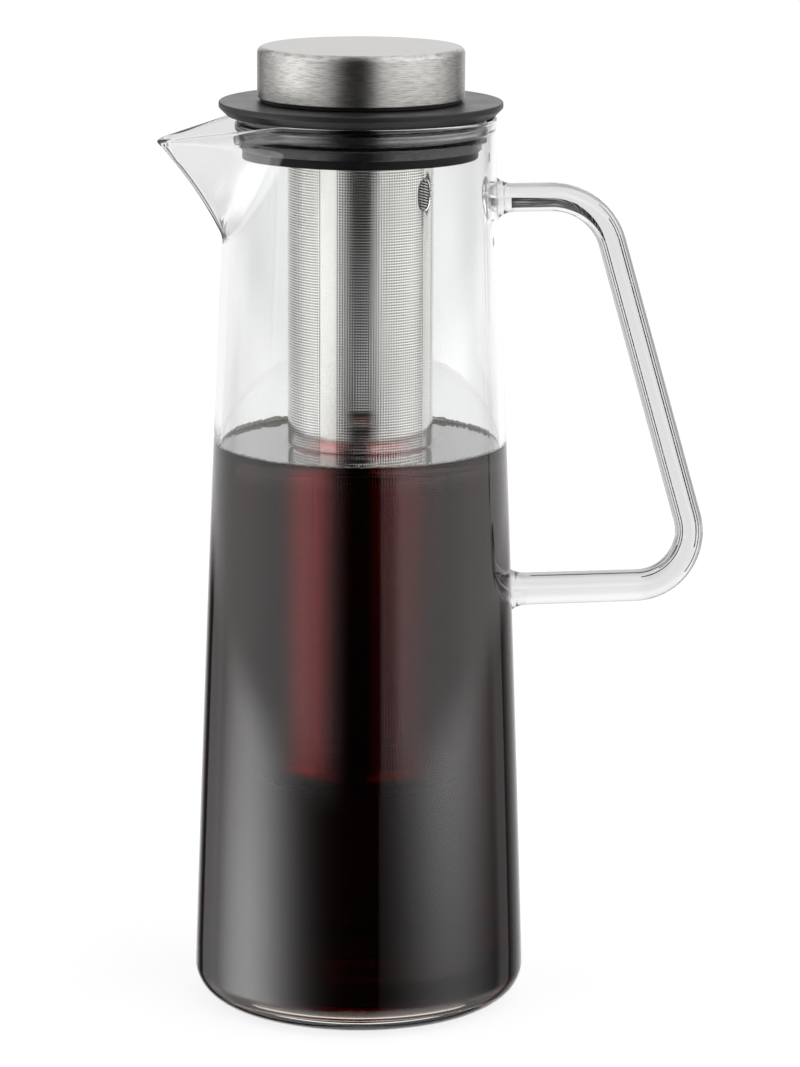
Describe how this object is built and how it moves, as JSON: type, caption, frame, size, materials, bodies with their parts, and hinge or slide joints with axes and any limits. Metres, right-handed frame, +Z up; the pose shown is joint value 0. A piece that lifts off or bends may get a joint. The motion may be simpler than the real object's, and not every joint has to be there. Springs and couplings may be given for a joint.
{
  "type": "cold brew coffee maker",
  "caption": "Tall glass jug with spout and rod handle, a black collar that hangs a perforated steel filter in the jug, and a steel-capped stopper.",
  "frame": {"origin": "centre of the jug's flat base on the table", "axes": "+Z up along the jug's axis, handle along +X, spout along -X"},
  "size_m": [0.1722, 0.1038, 0.3],
  "materials": {
    "clear_glass": "clear blown borosilicate glass",
    "handle_glass": "clear solid glass rod",
    "matt_black_plastic": "matt black with a fine moulded grain",
    "grey_silicone": "dark grey silicone",
    "filter_steel": "plain stainless steel",
    "perforated_steel": "stainless steel with fine etched holes",
    "brushed_steel": "brushed round the cap",
    "stopper_plastic": "black moulded plastic",
    "ring_silicone": "black silicone"
  },
  "bodies": {
    "jug": {"glass_carafe": "clear_glass", "glass_handle": "handle_glass"},
    "filter_unit": {"collar_ring": "matt_black_plastic", "collar_seal": "grey_silicone", "filter_flange": "filter_steel", "filter_tube": "perforated_steel", "filter_base": "filter_steel"},
    "stopper": {"steel_cap": "brushed_steel", "cap_core": "stopper_plastic", "stopper_seal": "ring_silicone"}
  },
  "joints": [
    {"name": "filter_lift", "type": "slide", "parent": "jug", "child": "filter_unit", "axis": [0, 0, 1], "range_m": [0, 0.22]},
    {"name": "stopper_lift", "type": "slide", "parent": "filter_unit", "child": "stopper", "axis": [0, 0, 1], "range_m": [0, 0.03]}
  ]
}
